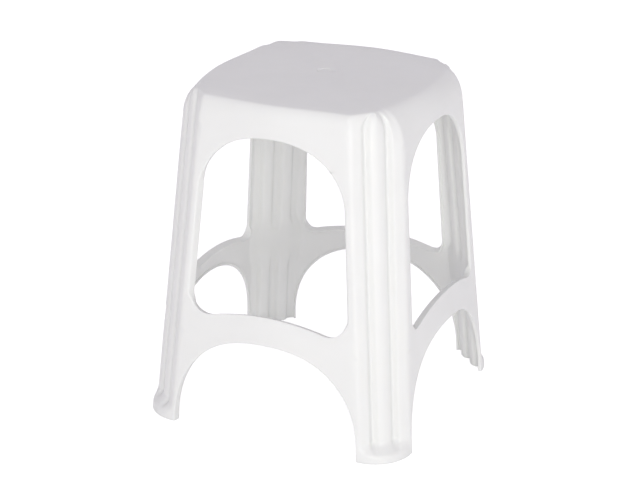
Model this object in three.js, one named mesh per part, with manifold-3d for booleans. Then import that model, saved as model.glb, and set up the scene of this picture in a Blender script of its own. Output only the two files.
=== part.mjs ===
// Square plastic stacking stool, moulded in one shell: a seat plate, four leaning walls with an arched window
// and an arched base opening each, and four corner legs with two flutes that end on a rounded toe.
// Millimetres, +Z up, the origin on the floor under the middle of the seat.
import * as THREE from "three";
import { mergeVertices } from "three/addons/utils/BufferGeometryUtils.js";
import Module from "manifold-3d";

// Overall sizes
const stoolHeight = 450;
const baseHalf = 189.5;
const seatHalf = 151;
const wallThickness = 3;

// How far each wall swells outward at mid side, at the base, the sill, the window's apex and the seat
const bowBase = 7;
const bowSill = 2;
const bowSkirt = 4;
const bowSeat = 5.5;

// Corner legs: a flat set back from the square corner, rounded side ribs, two flutes and a domed middle rib
const cornerCut = 37.2;
const sideRibRound = 9;
const fluteCentre = 15.3;
const fluteHalf = 8;
const fluteDepth = 6.5;
const fluteBackSpread = 2.5;
const middleRibDome = 1.2;

// Toes: outside, the flutes stop on a sloping ledge above a plain rounded corner. Inside, they run on down to
// the floor, and the pocket between the two is open below.
const toeRound = 54;
const toeHeight = 8.5;
const toeShoulder = 11;
const ledgeTop = 21;
const ledgeBackDrop = 1.7;
const shoulderShare = 0.93;

// Base openings, a flattened arch in each wall
const archHalf = 131.2;
const archApex = 135.2;
const archPowerShare = 0.87;

// Windows: a crowned sill, rounded lower corners, sides that lean in, and a flattened arch above that rises
// to the skirt left under the seat
const sillMiddle = 172.6;
const sillDrop = 17;
const windowSillHalf = 105.2;
const windowSpringHalf = 100.6;
const windowRise = 82.5;
const skirtHeight = 42.5;
const windowCorner = 15;
const windowPowerShare = 0.88;
const windowApex = stoolHeight - skirtHeight;
const windowSpring = windowApex - windowRise;

// The flange round each window, turned in from the wall
const flangeDepth = 3.5;
const flangeWidth = 3;

// Inside the legs the backs of the flutes are filled level with each other behind the rails: the fill grows
// below the arch's apex and fades out round the sill
const fillStartBelowArch = 41.5;
const fillFullBelowArch = 18.5;
const fillFadeBelowSill = 13.4;
const fillEndAboveSill = 6.6;

// Rounding of the seat's edge: crisp over the front and back walls, soft over the side walls, each softer
// towards the leg. Over the leg's middle rib it is tight across and tall, so that the flutes run out under
// the seat.
const frontEdgeMiddle = 9;
const frontEdgeEnd = 14;
const sideEdgeMiddle = 19;
const sideEdgeEnd = 26;
const legEdge = 6;
const legEdgeRise = 20;

// Seat underside: thin radial ribs from a ring, and a deep web in each corner that stops a stool stacked
// below
const ribThickness = 2.2;
const ribDepth = 8;
const ringRadius = 22;
const stopReach = 28;
const stopDepth = 38;
const stopSlope = 9;

// The shallow round gate mark in the middle of the seat
const gateRadius = 11.5;
const gateDepth = 0.8;
const gateTaperWidth = 1.5;

// How far cutters run past what they cut
const overrun = 5;

// Shares along a wall from its middle to the leg, and across a flute from edge to edge
const wallShares = [0, 0.3, 0.58, 0.82];
const fluteShares = [1, 0.55, 0.2, -0.2, -0.55, -1];

const arcSteps = 3;
const edgeSteps = 4;
const archSteps = 13;
const sillSteps = 4;
const roundSteps = 32;
const sides = 4;

const wasm = await Module();
wasm.setup();

const mix = (a, b, share) => a + (b - a) * share;
const diagonal = Math.SQRT2;

// A value read off a list of [height, value] stations
function along(stations, z) {
  for (let i = 1; i < stations.length; i++) {
    const [z0, v0] = stations[i - 1];
    const [z1, v1] = stations[i];
    if (z <= z1) return mix(v0, v1, Math.max(0, (z - z0) / (z1 - z0)));
  }
  return stations[stations.length - 1][1];
}

const bowStations = [
  [0, bowBase],
  [archApex, bowBase],
  [sillMiddle, bowSill],
  [windowApex, bowSkirt],
  [stoolHeight, bowSeat],
];

// Half the width between opposite walls' outer faces at a height, where they don't swell
const wallHalf = (z) => mix(baseHalf, seatHalf, z / stoolHeight);

// A skin is the surface a given depth under the outer face. A level on it is either a height, or, over the
// seat's rounded edge, a turn from upright (0) to flat (a quarter turn) of an ellipse, its size given by how
// far it goes across and how far it rises.
function place(level, depth, edge) {
  if (level.turn === undefined) return { z: level.z, inset: 0 };
  return {
    z: stoolHeight - depth - (edge.rise - depth) * (1 - Math.sin(level.turn)),
    inset: (edge.across - depth) * (1 - Math.cos(level.turn)),
  };
}

// The leg's part of the outline at a level, from the wall to the middle of the corner, for a wall whose
// outward direction is +X and a corner at +X +Y.
function legOutline(level, depth, edge) {
  const corner = place(level, depth, edge);
  const half = wallHalf(corner.z) - depth - corner.inset;
  const fill = depth > 0 ? (level.fillShare ?? 0) : 0;
  const toe = level.toeShare ?? 0;
  const flute = fluteDepth * (level.turn === undefined ? 1 : Math.cos(level.turn) ** 2);
  const flat = diagonal * wallHalf(corner.z) - cornerCut - depth - corner.inset - fill * flute;
  const backSpread = depth > 0 ? fluteBackSpread : 0;
  const width = fluteHalf + backSpread;

  // u runs along the corner's flat away from its middle, n outward along the diagonal
  const points = [];
  const round = sideRibRound - depth;
  const roundCentre = diagonal * half - flat - round * Math.tan(Math.PI / 8);
  for (let i = arcSteps; i >= 0; i--) {
    const turn = ((Math.PI / 4) * i) / arcSteps;
    points.push([roundCentre + round * Math.sin(turn), flat - round * (1 - Math.cos(turn))]);
  }
  for (const share of fluteShares) {
    const dip = Math.cos((Math.PI / 2) * share) ** 2;
    points.push([fluteCentre + share * width, flat - (1 - fill) * flute * dip]);
  }
  const ribHalf = fluteCentre - width;
  for (const share of [0.5, 0]) {
    points.push([ribHalf * share, flat + (1 - fill) * middleRibDome * (1 - share ** 2)]);
  }

  // The toe is a plain round corner
  const toeRadius = toeRound - depth;
  const toeCentre = diagonal * (wallHalf(corner.z) - toeRound);
  return points.map(([u, n]) => {
    const onToe =
      u < toeRadius * Math.SQRT1_2 ? toeCentre + Math.sqrt(toeRadius ** 2 - u ** 2) : diagonal * half - u;
    const out = mix(n, onToe, toe);
    return [(out + u) / diagonal, (out - u) / diagonal, corner.z];
  });
}

// Half a side of the outline, from the middle of the wall to the middle of the corner. The edge's rounding
// changes from point to point.
function halfSide(level, depth, edge) {
  const round = (across, rise) => ({ across, rise });
  const count = legOutline(level, depth, round(edge.end, edge.end)).length;
  const legPoints = Array.from({ length: count }, (_, i) => {
    const share = i / (count - 1);
    const here = round(mix(edge.end, legEdge, share), mix(edge.end, legEdgeRise, share));
    return legOutline(level, depth, here)[i];
  });
  const legStart = legPoints[0][1];
  const wallPoints = wallShares.map((share) => {
    const size = mix(edge.middle, edge.end, share ** 2);
    const { z, inset } = place(level, depth, round(size, size));
    const swell = along(bowStations, z) * Math.cos((Math.PI / 2) * share) ** 2;
    return [wallHalf(z) - depth - inset + swell, share * legStart, z];
  });
  return [...wallPoints, ...legPoints];
}

const frontEdge = { middle: frontEdgeMiddle, end: frontEdgeEnd };
const sideEdge = { middle: sideEdgeMiddle, end: sideEdgeEnd };

// The whole outline, anticlockwise
function outline(level, depth) {
  const ring = [];
  for (let side = 0; side < sides; side++) {
    const [here, next] = side % 2 ? [frontEdge, sideEdge] : [sideEdge, frontEdge];
    const first = halfSide(level, depth, here);
    const second = halfSide(level, depth, next)
      .slice(1, -1)
      .reverse()
      .map(([x, y, z]) => [y, x, z]);
    const turn = (side * Math.PI * 2) / sides;
    const c = Math.round(Math.cos(turn));
    const s = Math.round(Math.sin(turn));
    for (const [x, y, z] of [...first, ...second]) ring.push([c * x - s * y, s * x + c * y, z]);
  }
  return ring;
}

function toSolid(geometry) {
  const bare = geometry.clone();
  bare.deleteAttribute("normal");
  bare.deleteAttribute("uv");
  const merged = mergeVertices(bare);
  return new wasm.Manifold(
    new wasm.Mesh({
      numProp: 3,
      vertProperties: merged.attributes.position.array,
      triVerts: new Uint32Array(merged.index.array),
    }),
  );
}

// Rings joined into a closed body, each end closed by a fan
function loft(rings) {
  const n = rings[0].length;
  const points = rings.flat();
  const ends = [rings[0], rings[rings.length - 1]].map((ring) => points.push([0, 0, ring[0][2]]) - 1);
  const faces = [];
  const last = (rings.length - 1) * n;
  for (let i = 0; i < n; i++) {
    const j = (i + 1) % n;
    for (let row = 0; row < last; row += n) {
      faces.push(row + i, row + j, row + n + j, row + i, row + n + j, row + n + i);
    }
    faces.push(ends[0], j, i, ends[1], last + i, last + j);
  }
  const geometry = new THREE.BufferGeometry();
  geometry.setAttribute("position", new THREE.Float32BufferAttribute(points.flat(), 3));
  geometry.setIndex(faces);
  return toSolid(geometry);
}

const edgeLevels = Array.from({ length: edgeSteps + 1 }, (_, i) => ({
  turn: ((Math.PI / 2) * i) / edgeSteps,
}));

const outerBody = loft(
  [
    { z: 0, toeShare: 1 },
    { z: toeHeight, toeShare: 1 },
    { z: toeShoulder, toeShare: shoulderShare },
    { z: ledgeTop },
    { z: archApex },
    { z: sillMiddle },
    { z: windowApex },
    ...edgeLevels,
  ].map((level) => outline(level, 0)),
);

// The hollow's skin at a depth, open below, and closed above by the levels given
function innerBody(depth, topLevels) {
  return loft(
    [
      { z: -overrun },
      { z: archApex - fillStartBelowArch },
      { z: archApex - fillFullBelowArch, fillShare: 1 },
      { z: archApex, fillShare: 1 },
      { z: sillMiddle - fillFadeBelowSill, fillShare: 1 },
      { z: sillMiddle, fillShare: fillEndAboveSill / (fillEndAboveSill + fillFadeBelowSill) },
      { z: sillMiddle + fillEndAboveSill },
      { z: windowApex },
      ...topLevels,
    ].map((level) => outline(level, depth)),
  );
}

// The pockets in the toes: what a hollow toe holds beyond the fluted leg
const toeHollow = loft(
  [
    { z: -overrun, toeShare: 1 },
    { z: toeHeight - ledgeBackDrop, toeShare: 1 },
    { z: toeShoulder - ledgeBackDrop, toeShare: shoulderShare },
    { z: ledgeTop - ledgeBackDrop },
  ].map((level) => outline(level, wallThickness)),
);
const flutedFoot = loft([{ z: -2 * overrun }, { z: ledgeTop }].map((level) => outline(level, 0)));
const toePockets = toeHollow.subtract(flutedFoot);

// A shape drawn with x along a wall and y up, cut through both opposite walls
function throughWalls(shape, acrossX) {
  const reach = baseHalf + bowBase + overrun;
  const geometry = new THREE.ExtrudeGeometry(shape, { depth: 2 * reach, bevelEnabled: false });
  geometry.translate(0, 0, -reach);
  geometry.rotateX(Math.PI / 2);
  if (acrossX) geometry.rotateZ(Math.PI / 2);
  return toSolid(geometry);
}

const mirrored = (points) => [
  ...points,
  ...points
    .slice()
    .reverse()
    .filter(([x]) => x > 0)
    .map(([x, y]) => [-x, y]),
];
const shapeOf = (points) => new THREE.Shape(points.map(([x, y]) => new THREE.Vector2(x, y)));

// A quarter of a flattened arch, from its spring to its apex
function archQuarter(half, rise, powerShare, from) {
  return Array.from({ length: archSteps + 1 }, (_, i) => {
    const turn = ((Math.PI / 2) * i) / archSteps;
    const x = i === archSteps ? 0 : half * Math.cos(turn) ** powerShare;
    return [x, from + rise * Math.sin(turn) ** powerShare];
  });
}

// A base opening's outline
const archPoints = [[archHalf, -overrun], ...archQuarter(archHalf, archApex, archPowerShare, 0)];

// The window's outline, grown by a margin. Its lower corner is an arc tangent to its side and to the sill's
// slope there.
function windowPoints(grow) {
  const start = windowSillHalf - windowCorner;
  const sill = (x) => sillMiddle - sillDrop * (x / windowSillHalf) ** 2;
  const low = Math.atan((-2 * sillDrop * start) / windowSillHalf ** 2);
  const side = Math.PI / 2 + Math.atan((windowSillHalf - windowSpringHalf) / (windowSpring - sillMiddle));
  const round = windowCorner + grow;
  const centre = [start - windowCorner * Math.sin(low), sill(start) + windowCorner * Math.cos(low)];
  const points = [];
  for (let i = 0; i < sillSteps; i++) {
    const x = (start * i) / sillSteps;
    points.push([x, sill(x) - grow]);
  }
  for (let i = 0; i <= arcSteps; i++) {
    const turn = mix(low, side, i / arcSteps) - Math.PI / 2;
    points.push([centre[0] + round * Math.cos(turn), centre[1] + round * Math.sin(turn)]);
  }
  const rise = windowApex - windowSpring + grow;
  return [...points, ...archQuarter(windowSpringHalf + grow, rise, windowPowerShare, windowSpring)];
}

function plate(points, thickness) {
  const geometry = new THREE.ExtrudeGeometry(shapeOf(points), { depth: thickness, bevelEnabled: false });
  geometry.translate(0, 0, -thickness / 2);
  geometry.rotateX(Math.PI / 2);
  return geometry;
}

// Underside ribs: a ring, and radial ribs to every wall and corner
const underside = stoolHeight - wallThickness;
const ribTop = stoolHeight - wallThickness / 2;
const ribBottom = underside - ribDepth;
const ringHalf = ribThickness / 2;
const ring = toSolid(
  new THREE.LatheGeometry(
    [
      [ringRadius - ringHalf, ribBottom],
      [ringRadius + ringHalf, ribBottom],
      [ringRadius + ringHalf, ribTop],
      [ringRadius - ringHalf, ribTop],
      [ringRadius - ringHalf, ribBottom],
    ].map(([x, y]) => new THREE.Vector2(x, y)),
    roundSteps,
  ).rotateX(Math.PI / 2),
);
let underRibs = ring;
const ribReach = diagonal * seatHalf;
const stopTip = diagonal * wallHalf(underside) - cornerCut - wallThickness - stopReach;
for (let side = 0; side < 2 * sides; side++) {
  const turn = (side * Math.PI) / sides;
  const rib = [
    [ringRadius, ribBottom],
    [ribReach, ribBottom],
    [ribReach, ribTop],
    [ringRadius, ribTop],
  ];
  underRibs = underRibs.add(toSolid(plate(rib, ribThickness).rotateZ(turn)));
  if (side % 2) {
    const stop = [
      [stopTip + stopSlope, underside - stopDepth],
      [ribReach, underside - stopDepth],
      [ribReach, ribTop],
      [stopTip, ribTop],
    ];
    underRibs = underRibs.add(toSolid(plate(stop, ribThickness).rotateZ(turn)));
  }
}

const gateMark = toSolid(
  new THREE.LatheGeometry(
    [
      [0, stoolHeight - gateDepth],
      [gateRadius - gateTaperWidth, stoolHeight - gateDepth],
      [gateRadius + gateTaperWidth * (overrun / gateDepth), stoolHeight + overrun],
      [0, stoolHeight + overrun],
    ].map(([x, y]) => new THREE.Vector2(x, y)),
    roundSteps,
  ).rotateX(Math.PI / 2),
);

// The flanges and ribs start half a wall deep, so that they join the shell
const hollow = innerBody(wallThickness, edgeLevels);
const halfWall = innerBody(wallThickness / 2, edgeLevels);
const flangeBack = innerBody(wallThickness + flangeDepth, [{ z: windowApex + flangeWidth + overrun }]);
const throughAll = (points) => {
  const shape = shapeOf(mirrored(points));
  return throughWalls(shape, true).add(throughWalls(shape, false));
};
const flanges = throughAll(windowPoints(flangeWidth)).intersect(halfWall.subtract(flangeBack));

const shell = outerBody
  .subtract(hollow)
  .add(flanges)
  .add(underRibs.intersect(halfWall))
  .subtract(toePockets)
  .subtract(throughAll(archPoints))
  .subtract(throughAll(windowPoints(0)))
  .subtract(gateMark);

const mesh = shell.getMesh();
const shellGeometry = new THREE.BufferGeometry();
shellGeometry.setAttribute("position", new THREE.BufferAttribute(mesh.vertProperties, mesh.numProp));
shellGeometry.setIndex(new THREE.BufferAttribute(mesh.triVerts, 1));

const stoolShell = new THREE.Mesh(
  shellGeometry,
  new THREE.MeshStandardMaterial({ color: "#ecedeb", roughness: 0.45, metalness: 0 }),
);
stoolShell.name = "stool_shell";

const stool = new THREE.Group();
stool.name = "stacking_stool";
stool.add(stoolShell);

export default stool;
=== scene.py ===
"""White plastic stacking stool: the moulding's skins worked out with numpy, its finish and a plain stage."""

import math

import bmesh
import bpy
import numpy as np
from mathutils import Matrix, Vector


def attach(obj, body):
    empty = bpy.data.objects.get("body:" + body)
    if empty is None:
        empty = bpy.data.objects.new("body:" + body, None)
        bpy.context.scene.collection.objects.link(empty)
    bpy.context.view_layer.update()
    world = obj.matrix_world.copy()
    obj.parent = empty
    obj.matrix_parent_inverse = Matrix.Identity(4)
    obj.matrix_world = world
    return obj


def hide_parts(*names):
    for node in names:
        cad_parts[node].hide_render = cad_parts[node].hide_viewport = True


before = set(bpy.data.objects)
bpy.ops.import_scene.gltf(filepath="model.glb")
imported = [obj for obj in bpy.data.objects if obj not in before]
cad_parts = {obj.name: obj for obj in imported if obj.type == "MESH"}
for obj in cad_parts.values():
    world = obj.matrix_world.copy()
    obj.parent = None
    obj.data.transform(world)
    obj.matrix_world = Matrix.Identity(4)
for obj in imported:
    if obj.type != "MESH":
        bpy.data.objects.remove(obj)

bl_info = {
    "name": "Stacking Stool",
    "version": (1, 0, 0),
    "blender": (4, 5, 0),
    "location": "View3D > Sidebar > Stool",
    "description": "Makes a moulded plastic stacking stool, its underside ribs and a studio stage",
    "category": "Object",
}

MM = 0.001
ROOT_TWO = math.sqrt(2)
RIGHT_ANGLE = math.pi / 2
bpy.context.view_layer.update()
# The walls, anticlockwise from +X. Each gives its number to the corner at its end
RIGHT, BACK, LEFT, FRONT = range(4)
WALL_NAMES = ("right", "back", "left", "front")

# The camera, from the fit of the seat, the legs and the feet: focal length and picture in pixels, sensor in
# millimetres, angles in degrees, and in metres the distance and the aim, to the right of the stool's axis and
# over the floor
FOCAL_PIXELS = 1666.2
PICTURE_WIDTH = 640
SENSOR_WIDTH = 36
CAMERA_AZIMUTH, CAMERA_ELEVATION, CAMERA_ROLL = 24.696, 21.525, 0.302
CAMERA_DISTANCE = 2.2727
AIM_RIGHT = -0.00525
AIM_HEIGHT = 0.2172
CLIP_START, CLIP_END = 0.05, 60

# The softboxes' sizes and places, what they face, and the floor's reach, in metres
LEFT_SIZE, LEFT_PLACE = 2.0, (-1.2, -2.6, 0.9)
FRONT_SIZE, FRONT_PLACE = 1.6, (1.5, -2.6, 0.7)
LAMPS_FACE = (0, 0, 0.25)
FLOOR_REACH = 14.0
# Glow that lifts the lit floor to white for the camera and leaves its shadows
FLOOR_GLOW = 0.55

# Sizes of the plastic's marks in millimetres: flow marks, scuffs, and the mould's spark texture, which is
# finer on the real one and drawn as coarse as this picture can show
FLOW_SIZE = 62.5
SCUFF_SIZE = 14.286
GRAIN_SIZE = 1.111
GRAIN_DEPTH = 0.2
SUBSURFACE_REACH = 6
# The flow marks' darkest share of the plastic's colour
FLOW_SHADE = 0.955
# The Mix node's sockets for colours
MIX_A, MIX_B, MIX_RESULT = 6, 7, 2


def length(name, millimetres, description):
    """A length property with its default in millimetres."""
    return bpy.props.FloatProperty(
        name=name,
        description=description,
        default=millimetres * MM,
        min=0,
        precision=4,
        subtype="DISTANCE",
        unit="LENGTH",
    )


def lengths(name, millimetres, description):
    """Several lengths. Three go along a wall, anticlockwise, as its start, its middle and its end, unless the
    description says more. Four are for the corners or the walls: right, back, left and front."""
    return bpy.props.FloatVectorProperty(
        name=name,
        description=description,
        default=[value * MM for value in millimetres],
        size=len(millimetres),
        precision=4,
        unit="LENGTH",
    )


def linear(hex_colour):
    """An sRGB hex colour as linear red, green and blue."""
    parts = [int(hex_colour[i : i + 2], 16) / 255 for i in (1, 3, 5)]
    return tuple(p / 12.92 if p <= 0.04045 else ((p + 0.055) / 1.055) ** 2.4 for p in parts)


def colour(name, hex_colour, description):
    """A colour property with its default as an sRGB hex value."""
    return bpy.props.FloatVectorProperty(
        name=name,
        description=description,
        default=linear(hex_colour),
        size=3,
        min=0,
        max=1,
        subtype="COLOR",
    )


def level(name, value, description, unit):
    """A level of light."""
    return bpy.props.FloatProperty(name=name, description=description, default=value, min=0, unit=unit)


class StoolSizes(bpy.types.PropertyGroup):
    """Sizes of the moulding."""

    height: length("Height", 450, "Floor to seat")
    base_half: length("Half base", 189.5, "Half the width between opposite walls at the floor")
    seat_half: length("Half seat", 152.8, "Half the width between opposite walls at the seat")
    wall: length("Wall", 3, "Wall thickness")
    bow_base: length("Bow, base", 7, "Swell of a wall at the base opening")
    bow_sill: length("Bow, sill", 2, "Swell of a wall at the window sill")
    bow_skirt: length("Bow, skirt", 4, "Swell of a wall at the window's apex")
    bow_seat: length("Bow, seat", 5.5, "Swell of a wall at the seat")
    corner_cut: length("Corner cut", 36, "Leg face back from the square corner")
    rib_round: length("Side rib radius", 10, "Rounding of a leg's side ribs")
    flute_centre: length("Flute centre", 14.6, "Flute's middle from the leg's middle")
    flute_half: length("Flute half width", 7.6, "Half a flute's width outside")
    flute_depth: length("Flute depth", 5.6, "Depth of a flute")
    flute_spread: length("Flute back spread", 2.5, "How much wider a flute's back is on each side")
    rib_dome: length("Middle rib dome", 1.2, "Crown of a leg's middle rib")
    toe_round: length("Toe radius", 54, "Rounding of the toe's corner")
    toe_height: length("Toe height", 8.5, "Upright part of the toe")
    ledge_top: length("Ledge top", 21, "Where the toe's ledge meets the flutes")
    arch_half: length("Arch half width", 131.2, "Half the base opening at the floor")
    arch_apex: length("Arch apex", 135.2, "Height of the base opening")
    sill: length("Sill", 172.6, "Height of the window sill at mid side")
    sill_drop: length("Sill drop", 17, "Fall of the sill to the window's corner")
    sill_half: length("Sill half width", 104.4, "Half the window at its sill")
    spring_half: length("Spring half width", 99.5, "Half the window where its arch springs")
    spring: length("Spring", 325, "Height where the window's arch springs")
    apex: lengths("Window apexes", (410, 406.5, 406.5, 406.5), "Height of each window's top, by wall")
    corner: lengths("Window corners", (12, 13, 13, 24), "Radius of each window's lower corners, by wall")
    shoulder: bpy.props.FloatVectorProperty(
        name="Window shoulders",
        description="How round a window's shoulders are, by the nearest corner and by the others",
        default=(0.975, 0.89),
        size=2,
        min=0.7,
        max=1.2,
    )
    right_edge: lengths("Right edge", (28, 19, 21), "Reach of the seat's rounded edge, right wall")
    back_edge: lengths("Back edge", (14, 6, 8), "Reach of the seat's rounded edge, back wall")
    left_edge: lengths("Left edge", (13, 12.5, 28), "Reach of the seat's rounded edge, left wall")
    front_edge: lengths("Front edge", (11, 8, 7), "Reach of the seat's rounded edge, front wall")
    leg_edge: lengths("Leg edges", (14, 6, 6, 6), "Reach of the seat's rounded edge, each leg's middle")
    right_rise: lengths("Right edge rise", (48, 34, 38), "Height of the seat's rounded edge, right wall")
    back_rise: lengths("Back edge rise", (27, 14, 15), "Height of the seat's rounded edge, back wall")
    left_rise: lengths("Left edge rise", (20, 20, 40), "Height of the seat's rounded edge, left wall")
    front_rise: lengths("Front edge rise", (34, 17, 13), "Height of the seat's rounded edge, front wall")
    leg_rise: lengths("Leg edge rises", (30, 14, 16, 16), "Height of the seat's rounded edge, each leg")
    fullness: lengths("Corner fullness", (3, 12, 0, 0), "How far each corner stands out over a flat")
    back_swell: length("Back swell", 4.5, "Extra swell of the back wall at the seat")
    full_start: length("Fullness start", 60, "Depth under the seat where fuller forms start")
    full_rise: length("Fullness rise", 50, "Height over which they grow to their full size")
    flute_end: length("Flute end", 22, "Height over which a flute runs out under the seat")
    flute_gap: lengths("Flute gaps", (30, 6, 0, 0), "How far under the seat each leg's flutes have run out")
    fill_start: length("Fill start", 41.5, "Depth under the base opening's apex where the backs fill up")
    fill_rise: length("Fill rise", 23, "Height over which they fill up")
    fill_end: length("Fill end", 13.4, "Depth under the window's sill where they start to open again")
    fill_fall: length("Fill fall", 20, "Height over which they open")
    sill_flange: lengths("Sill flange", (-3.5, 10, 0.6), "Slant, depth and rim radius, windows' sills")
    top_flange: lengths("Top flange", (0.7, 5, 2.2), "Slant, depth and rim radius, windows' tops")
    left_jamb: lengths("Front left jamb", (5, 8, 4), "Slant, depth and rim radius, front window, left")
    right_jamb: lengths("Front right jamb", (2.5, 8, 4), "Slant, depth and rim radius, front window, right")
    jamb: lengths("Other jambs", (1, 4, 3), "Slant, depth and rim radius, other windows' sides")
    arch_side: length("Arch side slant", 2, "How far a base opening's flange widens inward at its sides")
    arch_top: length("Arch top slant", 2.5, "How far it narrows inward at its top")
    arch_depth: lengths("Arch flanges", (4, 4, 4, 9), "Depth of each base opening's flange at its sides")
    arch_lip: length("Arch top depth", 4, "Depth of each base opening's flange at its top")
    crease: length("Crease", 1.2, "Radius of the base opening's rim")
    fillet: length("Fillet", 1.5, "Radius inside, between a flange and its wall")
    gate_radius: length("Gate mark radius", 13, "Radius of the round mark in the seat")
    gate_wall: length("Gate mark slope", 2.5, "Width of the slope round the mark")
    gate_depth: length("Gate mark depth", 1.3, "Depth of the round mark in the seat")
    gate_back: length("Gate mark back", 22, "The round mark's distance from the seat's middle to the back")
    gate_left: length("Gate mark left", 8, "The round mark's distance from the seat's middle to the left")
    rib_wall: length("Rib thickness", 2.2, "Thickness of an underside rib")
    rib_depth: length("Rib depth", 8, "Depth of an underside rib")
    ring_radius: length("Ring radius", 22, "Radius of the ring under the seat")
    stop_reach: length("Stop reach", 28, "Reach of a stacking stop from its corner")
    stop_depth: length("Stop depth", 38, "Depth of a stacking stop")
    stop_slope: length("Stop slope", 9, "How far a stop's free edge leans")


class StoolFinish(bpy.types.PropertyGroup):
    """Colours and lamp levels."""

    plastic: colour("Plastic", "#EEEFED", "White polypropylene")
    floor: colour("Floor", "#F4F4F4", "Floor and backdrop")
    sky_tint: colour("Sky tint", "#FCF8FF", "Even light from all round, a trace of violet")
    lamp_tint: colour("Lamp tint", "#FEFFF9", "Softboxes, a trace of yellow")
    sky: level("Sky", 0.677, "Level of the even light from all round", "NONE")
    left_lamp: level("Left lamp", 1.8, "Power of the softbox at the left", "POWER")
    front_lamp: level("Front lamp", 36.5, "Power of the softbox by the camera", "POWER")


def mix(a, b, t):
    """Straight line from a to b as t goes from 0 to 1."""
    return a + (b - a) * t


def ease(t):
    """A step with level ends: three t squared less two t cubed, t kept between 0 and 1."""
    t = np.clip(t, 0, 1)
    return t * t * (3 - 2 * t)


def corner_of(side, mirror):
    """The number of the corner that half a wall ends at: its own, or the one before for its mirrored half."""
    return side - 1 if mirror else side


# Height over which the swell's straight lines between its stations are blended
BOW_BLEND = 30
# Share of the toe's plain corner in the outline, at heights over its shoulder and over its ledge's top
TOE_SHOULDER = {-1: 1, 0: 0.995, 1: 0.975, 2.5: 0.91}
TOE_LEDGE = {-1: 0.05, 1: 0}
# Shares of a flute's width and of its distance from the middle that are left where it runs out
CLOSED_WIDTH = 0.5
CLOSED_CENTRE = 0.1
# The least half width that the middle rib's crown spans
LEAST_RIB = 0.5


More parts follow.
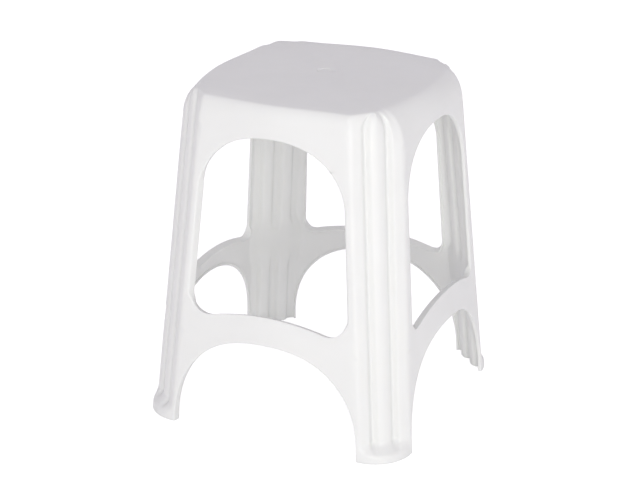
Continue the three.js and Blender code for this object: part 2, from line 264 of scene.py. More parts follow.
class Form:
    """The stool's skins in millimetres. A side's outline runs in t from the middle of a wall (0) to the leg
    (1), round the leg's side rib (2) and over the leg's face to the middle of the corner (3)."""

    def __init__(self, sizes):
        for key in sizes.__annotations__:
            setattr(self, key, np.array(getattr(sizes, key)) / MM)
        self.shoulder = np.array(sizes.shoulder)
        # Where the side rib's centre stands, along the leg's face and in from the square corner
        self.rib_centre = self.corner_cut - self.rib_round * math.tan(math.pi / 8)
        self.leg_width = (self.corner_cut + self.rib_round + self.rib_centre) / ROOT_TWO
        self.rib_arc = self.rib_round * math.pi / 4
        heights = np.arange(0, self.height + 1)
        bow = np.interp(
            heights,
            [0, self.arch_apex, self.sill, self.apex[FRONT], self.height],
            [self.bow_base, self.bow_base, self.bow_sill, self.bow_skirt, self.bow_seat],
        )
        blend = np.hanning(BOW_BLEND + 1)
        padded = np.pad(bow, BOW_BLEND // 2, mode="edge")
        self.bow = np.convolve(padded, blend / blend.sum(), mode="valid")
        self.bow_heights = heights

    def wall_half(self, z):
        """Half the distance between opposite walls, a straight line from the floor to the seat."""
        return mix(self.base_half, self.seat_half, z / self.height)

    def leg_start(self, z):
        """How far from mid side a wall ends and its leg's side rib starts."""
        return self.wall_half(z) - self.leg_width

    def fill(self, z):
        """Share by which the flutes' backs are filled level with each other, behind the rails."""
        rise = ease((z - (self.arch_apex - self.fill_start)) / self.fill_rise)
        fall = ease((z - (self.sill - self.fill_end)) / self.fill_fall)
        return rise * (1 - fall)

    def toe_share(self, z):
        """Share of the toe's plain round corner in the outline: all of it up to its shoulder, then down a
        slope that ends on the flutes."""
        shoulder = [self.toe_height + over for over in TOE_SHOULDER]
        ledge = [self.ledge_top + over for over in TOE_LEDGE]
        return np.interp(z, shoulder + ledge, [*TOE_SHOULDER.values(), *TOE_LEDGE.values()])

    def edge_size(self, t, side, mirror):
        """How far the seat's rounded edge reaches in and how tall it is. Along a wall both go with the cube
        of t, and round the side rib they stay. Over the leg's face the reach falls in a straight line to that
        of the middle rib, and the height in a smooth step."""
        corner = corner_of(side, mirror)
        face = np.clip(t - 2, 0, 1)
        sizes = []
        for kind, last, fall in (
            ("edge", self.leg_edge[corner], face),
            ("rise", self.leg_rise[corner], ease(face)),
        ):
            start, middle, end = getattr(self, WALL_NAMES[side] + "_" + kind)
            along = mix(middle, start if mirror else end, np.clip(t, 0, 1) ** 3)
            sizes.append(mix(along, last, fall))
        return sizes

    def fuller(self, points, t, side, mirror):
        """Points moved out near the seat, where corners and one wall are fuller: by a smooth step of height
        times a cosine squared across the leg's face, and across the wall."""
        near_seat = ease((points[..., 2] - self.height + self.full_start) / self.full_rise)
        push = self.fullness[corner_of(side, mirror)] * near_seat
        push = push * np.cos(RIGHT_ANGLE * np.clip(3 - t, 0, 1)) ** 2
        points[..., 0] += push / ROOT_TWO
        points[..., 1] += push / ROOT_TWO
        if side == BACK:
            points[..., 0] += self.back_swell * near_seat * np.cos(RIGHT_ANGLE * np.clip(t, 0, 1)) ** 2
        return points

    def skin(self, t, z, depth=0.0, fill=0.0, toe=0.0, gap=0.0):
        """A point of the skin at a depth under the outside, for a wall facing +X and a corner at +X +Y.
        Wall: x is the half width and the bow times cosine squared of t. Side rib: an arc about its centre.
        Leg face: a flat less the flutes' dips, cosine squared outside and one less a fourth power inside,
        plus a parabola on the middle rib. Under the seat the flutes run out and close up on each other as a
        quarter circle of height does, and the last gap under it is without them."""
        t, z, fill, toe = np.broadcast_arrays(*[np.asarray(v, float) for v in (t, z, fill, toe)])
        half = self.wall_half(z)
        bow = np.interp(z, self.bow_heights, self.bow)
        start = half - self.leg_width - ROOT_TWO * fill * self.flute_depth
        wall_x = half - depth + bow * np.cos(RIGHT_ANGLE * np.clip(t, 0, 1)) ** 2
        wall_y = t * start

        centre_u = self.rib_centre + fill * self.flute_depth
        centre_n = ROOT_TWO * half - self.corner_cut - self.rib_round - fill * self.flute_depth
        angle = math.pi / 4 * (2 - np.clip(t, 1, 2))
        radius = self.rib_round - depth
        arc_u = centre_u + radius * np.sin(angle)
        arc_n = centre_n + radius * np.cos(angle)

        face_u = centre_u * (3 - np.clip(t, 2, 3))
        below = np.clip((self.height - gap - z) / self.flute_end, 0, 1)
        open_share = np.sqrt(1 - (1 - below) ** 2)
        width = (self.flute_half + (self.flute_spread if depth > 0 else 0)) * mix(CLOSED_WIDTH, 1, open_share)
        middle = self.flute_centre * mix(CLOSED_CENTRE, 1, open_share)
        across = np.clip((face_u - middle) / width, -1, 1)
        section = 1 - across**4 if depth > 0 else np.cos(RIGHT_ANGLE * across) ** 2
        dip = self.flute_depth * open_share**1.5 * section
        dome = self.rib_dome * (1 - np.clip(face_u / np.maximum(middle - width, LEAST_RIB), 0, 1) ** 2)
        face_n = centre_n + radius + (1 - fill) * (dome - dip)

        u = np.where(t < 2, arc_u, face_u)
        n = np.where(t < 2, arc_n, face_n)
        n = mix(n, self.toe_reach(u, half, depth), toe)
        x = np.where(t < 1, wall_x, (n + u) / ROOT_TWO)
        y = np.where(t < 1, wall_y, (n - u) / ROOT_TWO)
        return np.stack([x, y, z], -1)

    def toe_reach(self, u, half, depth):
        """How far out the toe's skin is, u away from the middle of the corner: a round, then the wall."""
        radius = self.toe_round - depth
        on_round = ROOT_TWO * (half - self.toe_round) + np.sqrt(np.maximum(radius**2 - u**2, 0))
        return np.where(u < radius / ROOT_TWO, on_round, ROOT_TWO * (half - depth) - u)

    def on_wall(self, q, z, depth, side, mirror):
        """The skin at q along a wall from its middle, measured on the outside round the side rib."""
        fill = self.fill(z) if depth > 0 else np.zeros_like(z)
        end = self.leg_start(z) + self.rib_arc
        start = self.leg_start(z) - ROOT_TWO * fill * self.flute_depth
        size = np.abs(q)
        t = np.where(size < start, size / start, 1 + (size - start) / (end - start))
        toe = self.toe_share(z) if depth == 0 else np.zeros_like(z)
        points = self.fuller(self.skin(t, z, depth=depth, fill=fill, toe=toe), t, side, mirror)
        points[..., 1] *= np.where(q < 0, -1, 1)
        return points


# The grids' columns: t along half a wall with its side rib, and over half a leg's face
HALF_T = np.concatenate([np.linspace(0, 1, 17), np.linspace(1, 2, 7)[1:]])
FACE_T = np.linspace(2, 3, 31)
# Their rows: heights in millimetres up to the rail, close together at the toe's shoulder and ledge, and from
# there shares of the height to the seat's edge, closer together at both ends
LOW_LEVELS = np.array(
    [0, 4, 8, 11, 12, 13, 14, 15.5, 18, 21, 24, 25.5, 27, 31, 38, 48, 60, 72, 84, 95, 105, 115, 127, 139]
)
HIGH_SHARES = np.concatenate(
    [np.linspace(0, 0.16, 7), np.linspace(0.16, 0.9, 24)[1:], np.linspace(0.9, 1, 6)[1:]]
)
# How far the line that parts a wall's two fields falls from mid side to the leg
RAIL_FALL = 14
# Steps of a flange's bends, slants and lip, of a wall's field from its border to the flange, and of the
# seat's edge
BEND_STEPS = 5
SLANT_STEPS = 4
LIP_STEPS = 5
FIELD_STEPS = 7
EDGE_STEPS = 8
# The least that the seat's edge moves in on its inside
LEAST_INSET = 1
# Points along an outline's sill or side, along its corner and along its arch
LINE_POINTS = 200
CORNER_POINTS = 80
ARCH_POINTS = 400
# Power of the sine and the cosine in the base opening's arch, and the turns in degrees where the borders'
# corners meet the windows' shoulders and the base openings'
ARCH_POWER = 0.87
WINDOW_SHOULDER = 48
ARCH_SHOULDER = 50
# Shares of a window's side, and heights at a base opening's, over which its rows change from even steps along
# the outline to level ones and back
LEVEL_IN, LEVEL_OUT = 0.22, 0.3
ARCH_LEVEL, ARCH_EVEN = 40, 130
# How far an outline's normal points up where a window's flange is its sill's, its side's and its top's
FLANGE_TURNS = (-0.95, -0.6, 0, 0.08, 0.4)
# The most of a flange's depth that its fillet takes, and the bulge of its lip as a share of the wall
FILLET_SHARE = 0.8
LIP_BULGE = 0.3
# Radii of the rings of points round the gate mark, and the number of rings between them and the seat's rim
GATE_RINGS = (40, 20, 15, 13.5, 13, 12.3, 11.6, 10.9, 10.2, 9.5, 9)
SEAT_RINGS = 3


def quarter(half, rise, power, start):
    """A quarter of a flattened arch: half width times a power of the cosine, rise times one of the sine."""
    turn = np.linspace(0, RIGHT_ANGLE, ARCH_POINTS)
    x = half * np.cos(turn) ** power
    x[-1] = 0
    return np.stack([x, start + rise * np.sin(turn) ** power], -1), turn


def window_outline(form, side, mirror):
    """Right half of the window from its sill's middle to its apex: a parabola, an arc tangent to it and to
    the side, the side's straight line, and a quarter of a flattened arch, rounder by the nearest corner."""
    nearest = side == (RIGHT if mirror else FRONT)
    power = form.shoulder[0 if nearest else 1]
    corner = form.corner[side]
    start = form.sill_half - corner
    x = np.linspace(0, start, LINE_POINTS, endpoint=False)
    low = math.atan(-2 * form.sill_drop * start / form.sill_half**2)
    steep = RIGHT_ANGLE + math.atan((form.sill_half - form.spring_half) / (form.spring - form.sill))
    sill_end = form.sill - form.sill_drop * (start / form.sill_half) ** 2
    centre = np.array([start - corner * math.sin(low), sill_end + corner * math.cos(low)])
    turn = np.linspace(low, steep, CORNER_POINTS) - RIGHT_ANGLE
    arc = centre + corner * np.stack([np.cos(turn), np.sin(turn)], -1)
    sill = np.stack([x, form.sill - form.sill_drop * (x / form.sill_half) ** 2], -1)
    arch, arch_turn = quarter(form.spring_half, form.apex[side] - form.spring, power, form.spring)
    side_line = mix(arc[-1], arch[0], np.linspace(0, 1, LINE_POINTS)[1:-1, None])
    points = np.concatenate([sill, arc, side_line, arch])
    corner_at = len(sill) + len(arc) // 2
    shoulder_at = len(points) - len(arch) + int(np.searchsorted(arch_turn, math.radians(WINDOW_SHOULDER)))
    return points, corner_at, shoulder_at


def arch_outline(form):
    """Right half of the base opening from the floor to its apex, a quarter of a flattened arch."""
    points, turn = quarter(form.arch_half, form.arch_apex, ARCH_POWER, 0)
    return points, 0, int(np.searchsorted(turn, math.radians(ARCH_SHOULDER)))


def walk(points):
    """Distance along a line of points."""
    return np.concatenate([[0], np.cumsum(np.linalg.norm(np.diff(points, axis=0), axis=1))])


def read_off(points, travelled, at):
    """The points and the unit normals, on their right hand, at distances along a line of points. A normal is
    square to the line between the points a step before and after."""

    def read(distance):
        return np.stack([np.interp(distance, travelled, points[:, k]) for k in (0, 1)], -1)

    step = 1.5
    here = read(at)
    along = read(at + step) - read(at - step)
    along /= np.linalg.norm(along, axis=1)[:, None]
    return here, np.stack([along[:, 1], -along[:, 0]], -1)


def field_border(form, side, mirror, window):
    """Border of a wall's field in q and z, right half. For a window: mid rail line, side, then top, from the
    middle out and back. For a base opening: side, then mid rail line back to the middle."""
    out = form.leg_start(LOW_LEVELS[-1]) + form.rib_arc

    def line_at(t, z_of):
        z = z_of(t)
        start = form.leg_start(z)
        q = np.where(t < 1, t * start, start + (t - 1) * form.rib_arc)
        return np.stack([q, z], -1)

    def rail(t):
        q_share = np.where(t < 1, t * (1 - form.rib_arc / out), 1 - form.rib_arc / out * (2 - t))
        return LOW_LEVELS[-1] + RAIL_FALL * (1 - q_share**2)

    top = line_at(HALF_T, lambda t: form.height - form.edge_size(t, side, mirror)[1])
    low = line_at(HALF_T, rail)
    low[-1, 1] = LOW_LEVELS[-1]
    if window:
        side_z = mix(LOW_LEVELS[-1], top[-1, 1], HIGH_SHARES)
    else:
        side_z = LOW_LEVELS
    upright = np.stack([form.leg_start(side_z) + form.rib_arc, side_z], -1)
    return low, upright, top


def matched_outline(form, side, mirror, window):
    """Right half of the field: its border, and for each border point the opening's point and normal."""
    points, corner_at, shoulder_at = window_outline(form, side, mirror) if window else arch_outline(form)
    travelled = walk(points)
    low, upright, top = field_border(form, side, mirror, window)
    corner, shoulder, total = travelled[corner_at], travelled[shoulder_at], travelled[-1]
    between = slice(corner_at, shoulder_at + 1)
    same_z = np.interp(upright[:, 1], points[between, 1], travelled[between])
    if window:
        stretched = mix(corner, shoulder, HIGH_SHARES)
        level = ease(np.minimum(HIGH_SHARES / LEVEL_IN, (1 - HIGH_SHARES) / LEVEL_OUT))
        side_at = mix(stretched, same_z, level)
        low_at = corner * low[:, 0] / low[-1, 0]
        top_at = mix(total, shoulder, top[:, 0] / top[-1, 0])
        border = np.concatenate([low[:-1], upright, top[-2::-1]])
        at = np.concatenate([low_at[:-1], side_at, top_at[-2::-1]])
    else:
        stretched = shoulder * upright[:, 1] / upright[-1, 1]
        side_at = mix(same_z, stretched, ease((upright[:, 1] - ARCH_LEVEL) / (ARCH_EVEN - ARCH_LEVEL)))
        low_at = mix(total, shoulder, low[:, 0] / low[-1, 0])
        border = np.concatenate([upright, low[-2::-1]])
        at = np.concatenate([side_at, low_at[-2::-1]])
    here, normal = read_off(points, travelled, at)
    if window:
        here[0, 0], normal[0] = 0, (0, -1)
    else:
        here[0], normal[0] = (form.arch_half, 0), (1, 0)
    here[-1, 0], normal[-1] = 0, (0, 1)
    return border, here, normal


def flange_sizes(form, normal, side, mirror, window):
    """Slant, depth and rim radius of an opening's flange, by how far the outline's normal points up: down at
    the sill, level at the sides, up at the top. A base opening widens inward under the rail."""
    up = normal[:, 1]
    if window:
        jamb = form.jamb if side != FRONT else form.left_jamb if mirror else form.right_jamb
        sizes = zip(form.sill_flange, jamb, form.top_flange)
        return [np.interp(up, FLANGE_TURNS, [low, low, mid, mid, top]) for low, mid, top in sizes]
    slant = mix(form.arch_side, -form.arch_top, up**2)
    return [slant, mix(form.arch_depth[side], form.arch_lip, up**2), np.full(len(up), form.crease)]


def flange_rows(form, slant, depth, crease):
    """Section of a flange as rows of distance from the outline, drop below the wall's face and share of the
    inside skin. Outside: an arc of the rim's radius, then a straight slant. The lip: half an ellipse.
    Inside: the slant moved over by the wall, then an arc of the fillet's radius."""
    wall = form.wall
    lean = np.arctan2(slant, depth)
    turn = RIGHT_ANGLE - lean
    fillet = np.minimum(form.fillet, FILLET_SHARE * (depth - wall) / (1 - np.cos(turn)))
    lip = wall / np.cos(lean)

    def bend(radius, start, drop):
        """Distances and drops of the arc whose straight slant ends on the lip at a start distance."""
        angle = turn * np.linspace(0, 1, BEND_STEPS + 1)[:, None]
        drops = drop + radius * (1 - np.cos(angle))
        foot = start + (depth - drops[-1]) * np.tan(lean)
        return foot + radius * (np.sin(turn) - np.sin(angle)), drops

    outer_e, outer_d = bend(crease, 0.0, 0.0)
    inner_e, inner_d = bend(fillet, lip, wall)
    shift = np.maximum(0, -outer_e.min(0))
    slope = np.linspace(0, 1, SLANT_STEPS + 1)[:, None]
    half_turn = np.linspace(0, math.pi, LIP_STEPS + 2)[1:-1, None]
    distance = [
        outer_e,
        mix(outer_e[-1], 0, slope[1:]),
        lip / 2 * (1 - np.cos(half_turn)),
        mix(lip, inner_e[-1], slope),
        inner_e[-2::-1],
    ]
    drop = [
        outer_d,
        mix(outer_d[-1], depth, slope[1:]),
        depth + LIP_BULGE * wall * np.sin(half_turn),
        mix(depth, inner_d[-1], slope),
        inner_d[-2::-1],
    ]
    before, after = len(distance[0]) + len(distance[1]), len(distance[3]) + len(distance[4])
    share = np.concatenate([np.zeros(before), half_turn[:, 0] / math.pi, np.ones(after)])
    return np.concatenate(distance) + shift, np.concatenate(drop), share


def wall_field(form, side, mirror, window):
    """A wall round one opening, one half, as rows from the border's outside over the flange to the border's
    inside: straight lines in the wall's own surface, with the flange's section between them."""
    border, here, normal = matched_outline(form, side, mirror, window)
    distance, drop, share = flange_rows(form, *flange_sizes(form, normal, side, mirror, window))

    def on_skin(flat, depth):
        return form.on_wall(flat[..., 0], np.maximum(flat[..., 1], 0), depth, side, mirror)

    flat = here + normal * distance[..., None]
    outside = on_skin(flat, 0)
    inside = on_skin(flat, form.wall)
    inside[..., 0] += form.wall
    section = mix(outside, inside, share[:, None, None])
    section[..., 0] -= drop
    spread = np.linspace(1, 0, FIELD_STEPS + 1)[:-1, None, None]
    above = on_skin(mix(flat[0], border, spread), 0)
    below = on_skin(mix(flat[-1], border, spread[::-1]), form.wall)
    return np.concatenate([above, section, below])


# Points closer than the first are one, edges shorter than the second go, in metres; edges that turn by more
# than the third stay sharp, in degrees
MERGE_DISTANCE = 2e-6
LEAST_EDGE = 1e-7
SHARP_ANGLE = 50


class Surface:
    """Collects grids of points into one mesh."""

    def __init__(self):
        self.points, self.faces, self.count = [], [], 0

    def add_grid(self, grid):
        """A grid of points, rows by columns, joined by four-sided faces."""
        rows, columns = grid.shape[:2]
        index = self.count + np.arange(rows * columns).reshape(rows, columns)
        loops = np.stack([index[:-1, :-1], index[:-1, 1:], index[1:, 1:], index[1:, :-1]], -1)
        self.faces.append(loops.reshape(-1, 4))
        self.points.append(grid.reshape(-1, 3))
        self.count += rows * columns

    def add_turned(self, grid, quarters, mirror):
        """A grid turned about the stool's axis by quarter turns, and first mirrored if it is such a half."""
        grid = grid * (np.array([1, -1, 1]) if mirror else 1)
        c, s = [(1, 0), (0, 1), (-1, 0), (0, -1)][quarters]
        x, y, z = grid[..., 0], grid[..., 1], grid[..., 2]
        self.add_grid(np.stack([c * x - s * y, s * x + c * y, z], -1))

    def to_object(self, name):
        """One closed mesh in metres, doubles merged, faces outward, smooth but for its sharp edges."""
        mesh = bpy.data.meshes.new(name)
        points = np.concatenate(self.points) * MM
        mesh.from_pydata(points.tolist(), [], np.concatenate(self.faces).tolist())
        made = bmesh.new()
        made.from_mesh(mesh)
        bmesh.ops.remove_doubles(made, verts=made.verts, dist=MERGE_DISTANCE)
        bmesh.ops.dissolve_degenerate(made, edges=made.edges, dist=LEAST_EDGE)
        open_edges = sum(1 for e in made.edges if len(e.link_faces) != 2)
        print(name, len(made.verts), "points", len(made.faces), "faces", open_edges, "open edges")
        bmesh.ops.recalc_face_normals(made, faces=made.faces)
        made.to_mesh(mesh)
        made.free()
        mesh.polygons.foreach_set("use_smooth", [True] * len(mesh.polygons))
        mesh.set_sharp_from_angle(angle=math.radians(SHARP_ANGLE))
        mesh.update()
        piece = bpy.data.objects.new(name, mesh)
        bpy.context.scene.collection.objects.link(piece)
        return piece


def leg_face(form, side, mirror):
    """Half a leg's face, from the side rib to the middle of the corner, as rows of levels: outside from the
    floor up, and inside from the floor up."""
    low_z = np.repeat(LOW_LEVELS[:, None], len(FACE_T), 1)
    top = form.height - form.edge_size(FACE_T, side, mirror)[1]
    high_z = mix(LOW_LEVELS[-1], top[None, :], HIGH_SHARES[:, None])
    z = np.concatenate([low_z, high_z[1:]])
    t = np.repeat(FACE_T[None, :], len(z), 0)
    gap = form.flute_gap[corner_of(side, mirror)]
    outside = form.skin(t, z, toe=form.toe_share(z), gap=gap)
    inside = form.skin(t, z, depth=form.wall, fill=form.fill(z), gap=gap)
    return form.fuller(outside, t, side, mirror), form.fuller(inside, t, side, mirror)


# The pocket in a toe: over what width it closes up towards the side rib, the least that its two skins stand
# apart, how far its roof is under the toe's shoulder and under the ledge's top, and how far it is over the
# shoulder in between
POCKET_FADE = 3
POCKET_LEAST = 0.02
ROOF_UNDER_SHOULDER = 2
ROOF_UNDER_LEDGE = 6
ROOF_OVER_SHOULDER = 3


def toe_bottom(form):
    """Half a toe's underside: its rim, the pocket between the toe's skin and the flutes, which goes up under
    the ledge, and the rim of the fluted foot. The pocket's profile is a share of the way from the toe's skin
    to the flutes and a height, which the gap between them fades out."""
    floor = np.zeros(len(FACE_T))
    outer = form.skin(FACE_T, floor, toe=1.0)
    fluted = form.skin(FACE_T, floor)
    inner = form.skin(FACE_T, floor, depth=form.wall)
    half = form.wall_half(0.0)
    u = (outer[:, 0] - outer[:, 1]) / ROOT_TWO
    fluted_n = (fluted[:, 0] + fluted[:, 1]) / ROOT_TWO
    skin_n = form.toe_reach(u, half, form.wall)
    gap = ease((skin_n - fluted_n) / POCKET_FADE)
    skin_n = np.maximum(skin_n, fluted_n + POCKET_LEAST)

    def at(share, height):
        z = height * gap
        n = mix(skin_n, fluted_n, share) + (form.wall_half(z) - half) * ROOT_TWO
        return np.stack([(n + u) / ROOT_TWO, (n - u) / ROOT_TWO, z], -1)

    low_roof, high_roof = form.toe_height - ROOF_UNDER_SHOULDER, form.ledge_top - ROOF_UNDER_LEDGE
    up = [(0, 0), (0, 0.25 * low_roof), (0, 0.5 * low_roof), (0.125, 0.75 * low_roof), (0.25, low_roof)]
    over = [(0.6, form.toe_height + ROOF_OVER_SHOULDER)]
    down = [(1, high_roof), (1, 0.66 * high_roof), (1, 0.33 * high_roof), (1, 0)]
    grid = np.stack([outer, *(at(share, height) for share, height in up + over + down), inner])
    grid[1:-1, 0] = grid[0, 0]
    return grid


def edge_band(form, side, mirror, depth):
    """Half a side of the seat's rounded edge: rows of turn from upright to flat round a quarter ellipse, the
    skin moved in square to the wall, and over the leg's face turning to the corner's own direction."""
    t = np.concatenate([HALF_T, FACE_T[1:]])
    turn = np.linspace(0, RIGHT_ANGLE, EDGE_STEPS + 1)[:, None]
    across, rise = form.edge_size(t, side, mirror)
    z = form.height - depth - (rise - depth) * (1 - np.sin(turn))
    inset = np.maximum(across - depth, LEAST_INSET) * (1 - np.cos(turn))
    gap = form.flute_gap[corner_of(side, mirror)]
    skin = form.skin(np.repeat(t[None, :], len(turn), 0), z, depth=depth, gap=gap)
    points = form.fuller(skin, t, side, mirror)
    heading = math.pi / 4 * np.clip(t - 2, 0, 1)
    points[..., 0] -= inset * np.cos(heading)
    points[..., 1] -= inset * np.sin(heading)
    return points


def seat_plate(form, rim, inside, side, mirror):
    """Half a side of the seat, from its rim to the gate mark. Rings pass in equal shares from the rim's
    outline to circles about the mark. Outside, the mark is a shallow dish whose wall is a smooth step."""
    place = np.array(Matrix.Rotation(-side * RIGHT_ANGLE, 2) @ Vector((-form.gate_left, form.gate_back)))
    place[1] *= -1 if mirror else 1
    angle = np.arctan2(rim[:, 1], rim[:, 0])
    reach = np.hypot(rim[:, 0], rim[:, 1])

    def ring(radius, share, drop=0):
        """Points at a radius about a share of the mark's place, a drop under the rim."""
        x = radius * np.cos(angle) + share * place[0]
        y = radius * np.sin(angle) + share * place[1]
        return np.stack([x, y, rim[:, 2] - drop], -1)

    shares = np.linspace(0, 1, SEAT_RINGS + 2)[1:-1]
    rings = [rim, *(ring(mix(reach, GATE_RINGS[0], share), share) for share in shares)]
    for radius in (*GATE_RINGS, 0):
        dish = form.gate_depth * ease((form.gate_radius - radius) / form.gate_wall)
        rings.append(ring(radius, 1, 0 if inside else dish))
    return np.stack(rings)


def moulding(form):
    """The whole shell: on each wall two fields, at each corner the leg's face and its toe's underside, and
    the seat's edge and the seat, outside and inside. A wall's sole beside a base opening joins the outer half
    of that field's first column to the inner half."""
    shell = Surface()
    toe = toe_bottom(form)
    for side in range(4):
        for mirror in (False, True):
            window = wall_field(form, side, mirror, True)
            arch = wall_field(form, side, mirror, False)
            edges = [edge_band(form, side, mirror, depth) for depth in (0.0, form.wall)]
            seats = [seat_plate(form, edges[k][-1], k == 1, side, mirror) for k in (0, 1)]
            sole = np.stack([arch[:, 0], arch[::-1, 0]])[:, : (len(arch) + 1) // 2]
            for grid in (window, arch, *leg_face(form, side, mirror), toe, sole, *edges, *seats):
                shell.add_turned(grid, side, mirror)
    return shell.to_object("stool_moulding")


def slab(profile, thickness, turn):
    """A flat web: a grid of reach and height along a ray at a turn about the stool's axis, its two faces half
    a thickness to each side, closed by the strips between their borders."""
    faces = []
    for half in (thickness / 2, -thickness / 2):
        reach, height = profile[..., 0], profile[..., 1]
        x = reach * math.cos(turn) - half * math.sin(turn)
        y = reach * math.sin(turn) + half * math.cos(turn)
        faces.append(np.stack([x, y, height], -1))
    front, back = faces
    rims = [np.stack([front[k], back[k]]) for k in (0, -1)]
    ends = [np.stack([front[:, k], back[:, k]]) for k in (0, -1)]
    return [front, back, *rims, *ends]


# Points round the ring, up the skin that the ribs end in, and down and along a rib
RING_POINTS = 65
SKIN_POINTS = 30
RIB_ROWS, RIB_COLUMNS = 12, 3
# A stop's thickness over that of a rib
STOP_SHARE = 1.2


def under_ribs(form):
    """Ribs under the seat: a square-cut ring, a rib from it to each wall and corner, and in each corner a
    deep web whose free edge leans, the stop for a stool below. All end half a wall deep in the skin."""
    ribs = Surface()
    under = form.height - form.wall
    low, high = under - form.rib_depth, form.height - form.wall / 2
    turn = np.linspace(0, 2 * math.pi, RING_POINTS)
    half = form.rib_wall / 2
    section = np.array([[-half, low], [half, low], [half, high], [-half, high], [-half, low]])
    radius, z = form.ring_radius + section[:, 0, None], section[:, 1, None] + 0 * turn
    ribs.add_grid(np.stack([radius * np.cos(turn), radius * np.sin(turn), z], -1))

    def under_skin(t, side):
        """Reach and height of the skin's middle, from a stop's foot up and over the seat's edge."""
        edge_start = form.height - form.edge_size(t, side, False)[1]
        heights = np.linspace(under - form.stop_depth, edge_start, SKIN_POINTS)
        along = np.full(SKIN_POINTS, t)
        upright = form.fuller(form.skin(along, heights, depth=form.wall / 2), along, side, False)
        edge = edge_band(form, side, False, form.wall / 2)[:, 0 if t == 0 else -1]
        line = np.concatenate([upright[:-1], edge])
        return np.stack([np.hypot(line[:, 0], line[:, 1]), line[:, 2]], -1)

    def web(starts, level, line, thickness, turn):
        """A web whose reach goes from a start to the skin at each level."""
        ends = np.interp(level, line[:, 1], line[:, 0])
        reach = mix(starts[:, None], ends[:, None], np.linspace(0, 1, RIB_COLUMNS))
        profile = np.stack([reach, np.repeat(level[:, None], RIB_COLUMNS, 1)], -1)
        for grid in slab(profile, thickness, turn):
            ribs.add_grid(grid)

    for step in range(8):
        side, corner = step // 2, step % 2
        turn = step * math.pi / 4
        line = under_skin(3.0 if corner else 0.0, side)
        level = np.linspace(low, high, RIB_ROWS)
        web(np.full(RIB_ROWS, form.ring_radius), level, line, form.rib_wall, turn)
        if corner:
            level = np.linspace(under - form.stop_depth, low + form.rib_wall, RIB_ROWS)
            tip = ROOT_TWO * form.wall_half(under) - form.corner_cut - form.wall - form.stop_reach
            free = tip + form.stop_slope * (high - level) / (high - level[0])
            web(free, level, line, STOP_SHARE * form.rib_wall, turn)
    return ribs.to_object("seat_ribs")


def add_node(tree, kind, settings=None, links=None):
    """Adds a node, sets its attributes and its sockets' values, and links sockets to others' outputs. A
    socket goes by its name, or by its number where the name isn't its alone."""
    node = tree.nodes.new(kind)
    for key, value in (settings or {}).items():
        if isinstance(key, int) or key in node.inputs:
            node.inputs[key].default_value = value
        else:
            setattr(node, key, value)
    for key, source in (links or {}).items():
        tree.links.new(source, node.inputs[key])
    return node


def polypropylene(finish):
    """White polypropylene, injection moulded in a lightly textured steel mould: a soft, waxy sheen, walls
    that let a little light through, faint uneven whiteness where the melt flowed, and fine scuffs that only
    roughen the gloss."""
    material = bpy.data.materials.new("white_polypropylene")
    material.use_nodes = True
    tree = material.node_tree
    tree.nodes.clear()
    place = {"Vector": add_node(tree, "ShaderNodeTexCoord").outputs["Object"]}
    # Flow marks, a hundredth or two of the whiteness
    settings = {"Scale": 1 / (FLOW_SIZE * MM), "Detail": 3.0, "Roughness": 0.5}
    flow = add_node(tree, "ShaderNodeTexNoise", settings, place)
    white = (*finish.plastic, 1)
    shade = (*[FLOW_SHADE * part for part in finish.plastic], 1)
    settings = {"data_type": "RGBA", MIX_A: shade, MIX_B: white}
    tint = add_node(tree, "ShaderNodeMix", settings, {"Factor": flow.outputs["Fac"]})
    # The mould's spark texture
    grain = add_node(tree, "ShaderNodeTexNoise", {"Scale": 1 / (GRAIN_SIZE * MM), "Detail": 2.0}, place)
    # Scuffs, from the soft sheen of a used seat to the satin of the mould
    settings = {"Scale": 1 / (SCUFF_SIZE * MM), "Detail": 5.0, "Roughness": 0.6}
    scuffs = add_node(tree, "ShaderNodeTexNoise", settings, place)
    gloss = add_node(
        tree,
        "ShaderNodeMapRange",
        {"From Min": 0.3, "From Max": 0.7, "To Min": 0.36, "To Max": 0.5},
        {"Value": scuffs.outputs["Fac"]},
    )
    settings = {"Strength": 0.12, "Distance": GRAIN_DEPTH * MM}
    bump = add_node(tree, "ShaderNodeBump", settings, {"Height": grain.outputs["Fac"]})
    # Light goes some millimetres into the 3 mm walls, blue a little less far than red
    shader = add_node(
        tree,
        "ShaderNodeBsdfPrincipled",
        {
            "IOR": 1.49,
            "Metallic": 0.0,
            "Specular IOR Level": 0.5,
            "Subsurface Weight": 0.3,
            "Subsurface Radius": (1.0, 0.97, 0.9),
            "Subsurface Scale": SUBSURFACE_REACH * MM,
        },
        {
            "Base Color": tint.outputs[MIX_RESULT],
            "Roughness": gloss.outputs["Result"],
            "Normal": bump.outputs["Normal"],
        },
    )
    add_node(tree, "ShaderNodeOutputMaterial", None, {"Surface": shader.outputs["BSDF"]})
    return material


class STOOL_OT_moulding(bpy.types.Operator):
    """Make the stool's shell: seat, walls, legs and toes in one moulding"""

    bl_idname = "stool.moulding"
    bl_label = "Moulding"

    def execute(self, context):
        scene = context.scene
        piece = moulding(Form(scene.stool_sizes))
        piece.data.materials.append(polypropylene(scene.stool_finish))
        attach(piece, "root")
        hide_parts("stool_shell")
        return {"FINISHED"}


class STOOL_OT_ribs(bpy.types.Operator):
    """Make the ribs, the ring and the stacking stops under the seat"""

    bl_idname = "stool.ribs"
    bl_label = "Underside ribs"

    def execute(self, context):
        scene = context.scene
        piece = under_ribs(Form(scene.stool_sizes))
        piece.data.materials.append(bpy.data.materials["white_polypropylene"])
        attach(piece, "root")
        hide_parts("stool_shell")
        return {"FINISHED"}


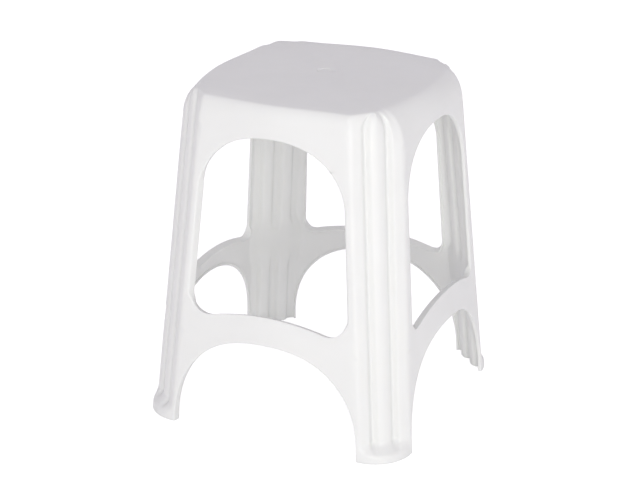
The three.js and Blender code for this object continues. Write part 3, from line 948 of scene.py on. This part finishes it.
def stage_material(name, finish):
    """Pale matt floor. To the camera it is lifted to white where no shadow falls, and keeps the shadow."""
    material = bpy.data.materials.new(name)
    material.use_nodes = True
    tree = material.node_tree
    tree.nodes.clear()
    matt = add_node(tree, "ShaderNodeBsdfDiffuse", {"Color": (*finish.floor, 1)})
    rays = add_node(tree, "ShaderNodeLightPath").outputs
    kinds = {0: rays["Is Camera Ray"], 1: rays["Is Glossy Ray"]}
    seen = add_node(tree, "ShaderNodeMath", {"operation": "MAXIMUM"}, kinds)
    lift = add_node(tree, "ShaderNodeMath", {"operation": "MULTIPLY", 1: FLOOR_GLOW}, {0: seen.outputs[0]})
    glow = add_node(tree, "ShaderNodeEmission", {"Color": (1, 1, 1, 1)}, {"Strength": lift.outputs[0]})
    both = add_node(tree, "ShaderNodeAddShader", None, {0: matt.outputs[0], 1: glow.outputs[0]})
    add_node(tree, "ShaderNodeOutputMaterial", None, {"Surface": both.outputs[0]})
    return material


def studio_world(finish):
    """Even light of a faint tint from all round, plain white to the camera."""
    world = bpy.data.worlds.new("studio")
    world.use_nodes = True
    tree = world.node_tree
    tree.nodes.clear()
    rays = add_node(tree, "ShaderNodeLightPath").outputs
    kinds = {0: rays["Is Camera Ray"], 1: rays["Is Transmission Ray"]}
    seen = add_node(tree, "ShaderNodeMath", {"operation": "MAXIMUM"}, kinds).outputs[0]
    level = add_node(tree, "ShaderNodeMapRange", {"To Min": finish.sky, "To Max": 1.0}, {"Value": seen})
    settings = {"data_type": "RGBA", MIX_A: (*finish.sky_tint, 1), MIX_B: (1, 1, 1, 1)}
    tint = add_node(tree, "ShaderNodeMix", settings, {"Factor": seen})
    links = {"Color": tint.outputs[MIX_RESULT], "Strength": level.outputs["Result"]}
    sky = add_node(tree, "ShaderNodeBackground", None, links)
    add_node(tree, "ShaderNodeOutputWorld", None, {"Surface": sky.outputs[0]})
    return world


def softbox(name, power, tint, size, place):
    """A square area lamp at a place, facing the stool."""
    lamp = bpy.data.lights.new(name, "AREA")
    lamp.shape = "SQUARE"
    lamp.size = size
    lamp.energy = power
    lamp.color = tint
    item = bpy.data.objects.new(name, lamp)
    item.location = place
    item.rotation_mode = "QUATERNION"
    item.rotation_quaternion = (Vector(LAMPS_FACE) - Vector(place)).to_track_quat("-Z", "Y")
    bpy.context.scene.collection.objects.link(item)


def fitted_camera():
    """The camera behind its aim along the line of its azimuth, from the front wall, and its elevation, rolled
    about that line."""
    camera = bpy.data.cameras.new("camera")
    camera.sensor_width = SENSOR_WIDTH
    camera.sensor_fit = "HORIZONTAL"
    camera.lens = FOCAL_PIXELS / PICTURE_WIDTH * SENSOR_WIDTH
    camera.clip_start, camera.clip_end = CLIP_START, CLIP_END
    azimuth, elevation, roll = [math.radians(v) for v in (CAMERA_AZIMUTH, CAMERA_ELEVATION, CAMERA_ROLL)]
    level = math.cos(elevation)
    back = Vector((math.sin(azimuth) * level, -math.cos(azimuth) * level, math.sin(elevation)))
    across = Vector((math.cos(azimuth), math.sin(azimuth), 0))
    upright = back.cross(across)
    right = across * math.cos(roll) + upright * math.sin(roll)
    up = upright * math.cos(roll) - across * math.sin(roll)
    target = across * AIM_RIGHT + Vector((0, 0, AIM_HEIGHT))
    turned = Matrix((right, up, back)).transposed()
    item = bpy.data.objects.new("camera", camera)
    item.matrix_world = Matrix.Translation(target + back * CAMERA_DISTANCE) @ turned.to_4x4()
    bpy.context.scene.collection.objects.link(item)
    return item


class STOOL_OT_stage(bpy.types.Operator):
    """Make the floor, the even light, the softboxes and the camera"""

    bl_idname = "stool.stage"
    bl_label = "Stage"

    def execute(self, context):
        scene = context.scene
        finish = scene.stool_finish
        mesh = bpy.data.meshes.new("floor")
        near, far = -FLOOR_REACH, FLOOR_REACH
        mesh.from_pydata([(near, near, 0), (far, near, 0), (far, far, 0), (near, far, 0)], [], [(0, 1, 2, 3)])
        floor = bpy.data.objects.new("floor", mesh)
        scene.collection.objects.link(floor)
        mesh.materials.append(stage_material("matt_floor", finish))
        scene.world = studio_world(finish)
        softbox("left_softbox", finish.left_lamp, finish.lamp_tint, LEFT_SIZE, LEFT_PLACE)
        softbox("front_softbox", finish.front_lamp, finish.lamp_tint, FRONT_SIZE, FRONT_PLACE)
        scene.camera = fitted_camera()
        scene.view_settings.view_transform = "Standard"
        return {"FINISHED"}


class STOOL_PT_panel(bpy.types.Panel):
    """The stool's pieces and sizes"""

    bl_idname = "STOOL_PT_panel"
    bl_label = "Stacking Stool"
    bl_space_type = "VIEW_3D"
    bl_region_type = "UI"
    bl_category = "Stool"

    def draw(self, context):
        for operator in OPERATORS:
            self.layout.operator(operator.bl_idname)
        for group in (context.scene.stool_sizes, context.scene.stool_finish):
            for key in group.__annotations__:
                self.layout.prop(group, key)


OPERATORS = (STOOL_OT_moulding, STOOL_OT_ribs, STOOL_OT_stage)
CLASSES = (StoolSizes, StoolFinish, *OPERATORS, STOOL_PT_panel)


def register():
    for item in CLASSES:
        bpy.utils.register_class(item)
    bpy.types.Scene.stool_sizes = bpy.props.PointerProperty(type=StoolSizes)
    bpy.types.Scene.stool_finish = bpy.props.PointerProperty(type=StoolFinish)


def unregister():
    del bpy.types.Scene.stool_finish
    del bpy.types.Scene.stool_sizes
    for item in reversed(CLASSES):
        bpy.utils.unregister_class(item)


def main():
    register()
    bpy.ops.stool.moulding()
    bpy.ops.stool.ribs()
    bpy.ops.stool.stage()


if __name__ == "__main__":
    main()
